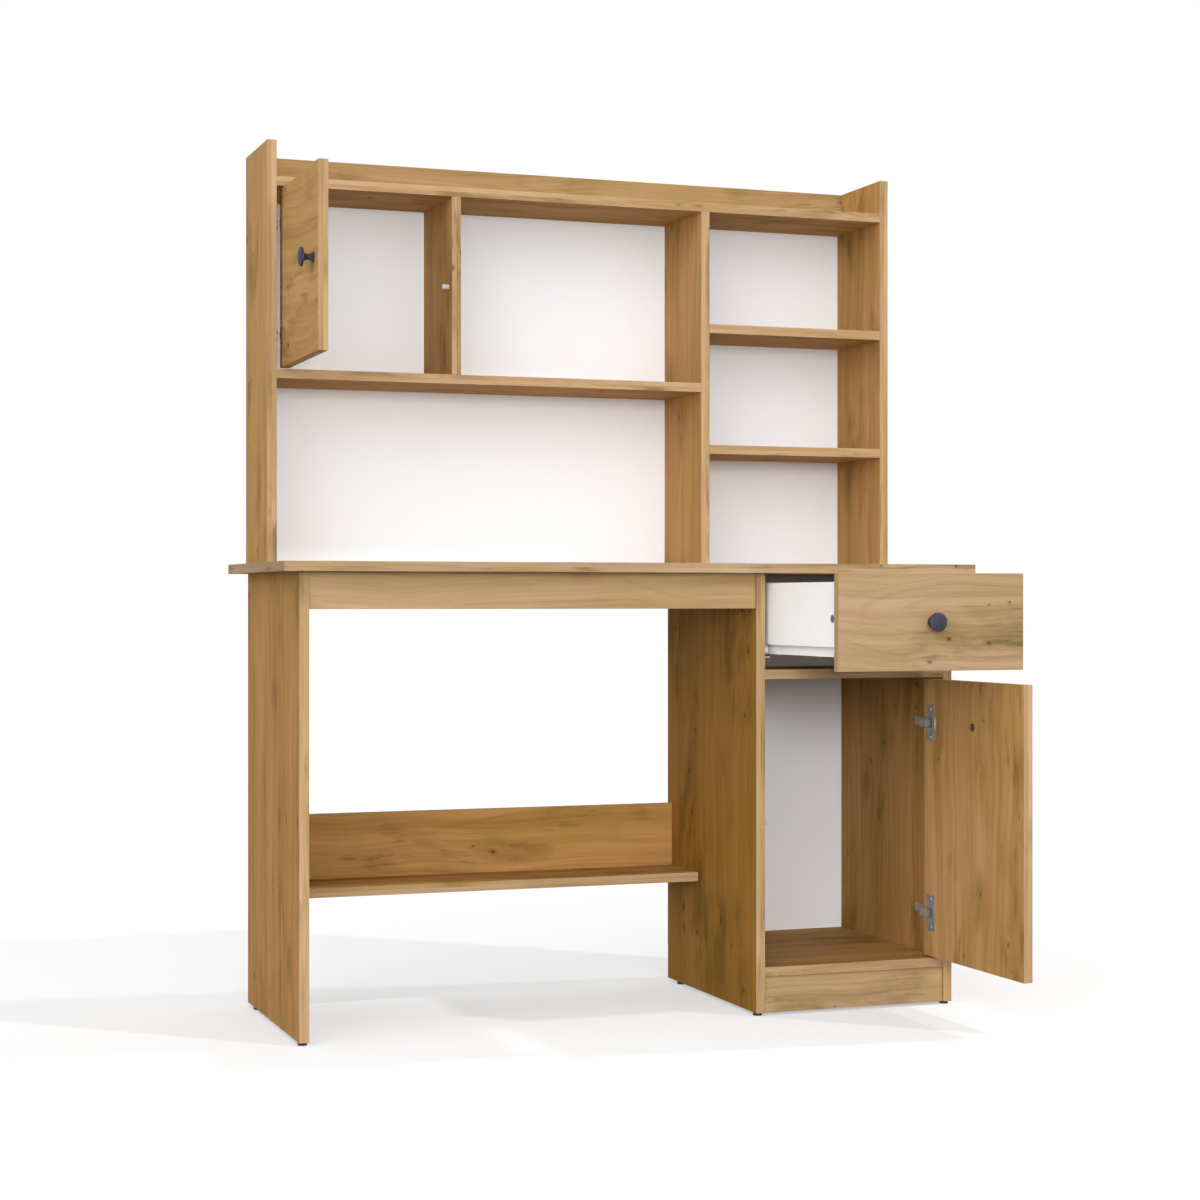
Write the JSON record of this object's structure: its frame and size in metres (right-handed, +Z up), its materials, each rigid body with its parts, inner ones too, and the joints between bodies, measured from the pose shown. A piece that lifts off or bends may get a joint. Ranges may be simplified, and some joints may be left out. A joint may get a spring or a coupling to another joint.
{
  "type": "student desk with hutch",
  "caption": "Oak-look student desk with a knee space and footrest, a pedestal with a drawer above a cupboard, and a hutch of open bays with a small hinged door.",
  "frame": {"origin": "on the floor, midway across the worktop and midway through the depth of the desk as it stands, drawer and doors open", "axes": "+X to the user's right, +Y towards the wall, +Z up"},
  "size_m": [1.2, 0.7273, 1.455],
  "materials": {
    "oak_board": "oak-grain laminate, satin",
    "white_hardboard": "smooth white lacquered hardboard",
    "white_board": "white laminate, fine pearl",
    "white_steel": "white powder coat",
    "nickel_steel": "nickel-plated, satin",
    "zinc_casting": "bare zinc casting",
    "anthracite_knob": "satin anthracite",
    "black_plastic": "moulded",
    "clear_plastic": "translucent, moulded",
    "nylon": "moulded white nylon",
    "beech": "fluted beech"
  },
  "bodies": {
    "carcass": {"worktop": "oak_board", "left_leg_panel": "oak_board", "pedestal_left_panel": "oak_board", "pedestal_right_panel": "oak_board", "front_apron": "oak_board", "footrest": "oak_board", "modesty_panel": "oak_board", "pedestal_bottom": "oak_board", "drawer_divider": "oak_board", "plinth": "oak_board", "hutch_left_side": "oak_board", "hutch_right_side": "oak_board", "hutch_tall_divider": "oak_board", "hutch_top_panel": "oak_board", "gallery_rail": "oak_board", "long_shelf": "oak_board", "hutch_small_divider": "oak_board", "lower_shelf": "oak_board", "upper_shelf": "oak_board", "pedestal_back": "white_hardboard", "hutch_back": "white_hardboard", "back_nails": "nickel_steel", "floor_glides": "black_plastic", "wooden_dowels": "beech", "cam_bolts": "zinc_casting", "cam_discs": "zinc_casting", "left_drawer_runner": "white_steel", "right_drawer_runner": "white_steel", "runner_axles": "nickel_steel", "runner_screws": "nickel_steel", "hinge_arms": "nickel_steel", "hinge_plates": "nickel_steel", "hinge_screws": "nickel_steel", "cupboard_door_stop": "clear_plastic", "hutch_door_stop": "clear_plastic"},
    "drawer": {"drawer_front": "oak_board", "drawer_left_side": "white_steel", "drawer_right_side": "white_steel", "drawer_floor": "white_board", "drawer_back": "white_board", "drawer_front_brackets": "nickel_steel", "drawer_bracket_cams": "zinc_casting", "drawer_roller_axles": "nickel_steel", "drawer_screws": "nickel_steel", "drawer_knob": "anthracite_knob"},
    "cupboard_door": {"cupboard_door": "oak_board", "cupboard_door_knob": "anthracite_knob", "cupboard_door_hinge_cups": "nickel_steel", "cupboard_door_hinge_pins": "nickel_steel", "cupboard_door_screws": "nickel_steel"},
    "hutch_door": {"hutch_door": "oak_board", "hutch_door_knob": "anthracite_knob", "hutch_door_hinge_cups": "nickel_steel", "hutch_door_hinge_pins": "nickel_steel", "hutch_door_screws": "nickel_steel"},
    "left_front_roller": {"left_front_roller": "nylon"},
    "right_front_roller": {"right_front_roller": "nylon"},
    "left_rear_roller": {"left_rear_roller": "nylon"},
    "right_rear_roller": {"right_rear_roller": "nylon"}
  },
  "joints": [
    {"name": "drawer_slide", "type": "slide", "parent": "carcass", "child": "drawer", "axis": [0, -1, 0], "range_m": [-0.274, 0.01]},
    {"name": "cupboard_door_hinge", "type": "hinge", "parent": "carcass", "child": "cupboard_door", "pos_m": [0.53725, -0.049, 0.3215], "axis": [0, 0, 1], "range_deg": [-90.8, 14]},
    {"name": "hutch_door_hinge", "type": "hinge", "parent": "carcass", "child": "hutch_door", "pos_m": [-0.53725, 0.191, 1.228], "axis": [0, 0, -1], "range_deg": [-90.7, 14]},
    {"name": "left_front_roller_spin", "type": "hinge", "parent": "carcass", "child": "left_front_roller", "pos_m": [0.2291, -0.029, 0.6117], "axis": [1, 0, 0], "range_deg": [-1970, 80]},
    {"name": "left_rear_roller_spin", "type": "hinge", "parent": "drawer", "child": "left_rear_roller", "pos_m": [0.2291, 0.024, 0.6075], "axis": [1, 0, 0], "range_deg": [-1970, 80]},
    {"name": "right_front_roller_spin", "type": "hinge", "parent": "carcass", "child": "right_front_roller", "pos_m": [0.5449, -0.029, 0.6117], "axis": [1, 0, 0], "range_deg": [-1970, 80]},
    {"name": "right_rear_roller_spin", "type": "hinge", "parent": "drawer", "child": "right_rear_roller", "pos_m": [0.5449, 0.024, 0.6075], "axis": [1, 0, 0], "range_deg": [-1970, 80]}
  ],
  "couplings": [
    {"joint": "left_front_roller_spin", "follows": "drawer_slide", "rad_per_m": 125},
    {"joint": "left_rear_roller_spin", "follows": "drawer_slide", "rad_per_m": 125},
    {"joint": "right_front_roller_spin", "follows": "drawer_slide", "rad_per_m": 125},
    {"joint": "right_rear_roller_spin", "follows": "drawer_slide", "rad_per_m": 125}
  ]
}
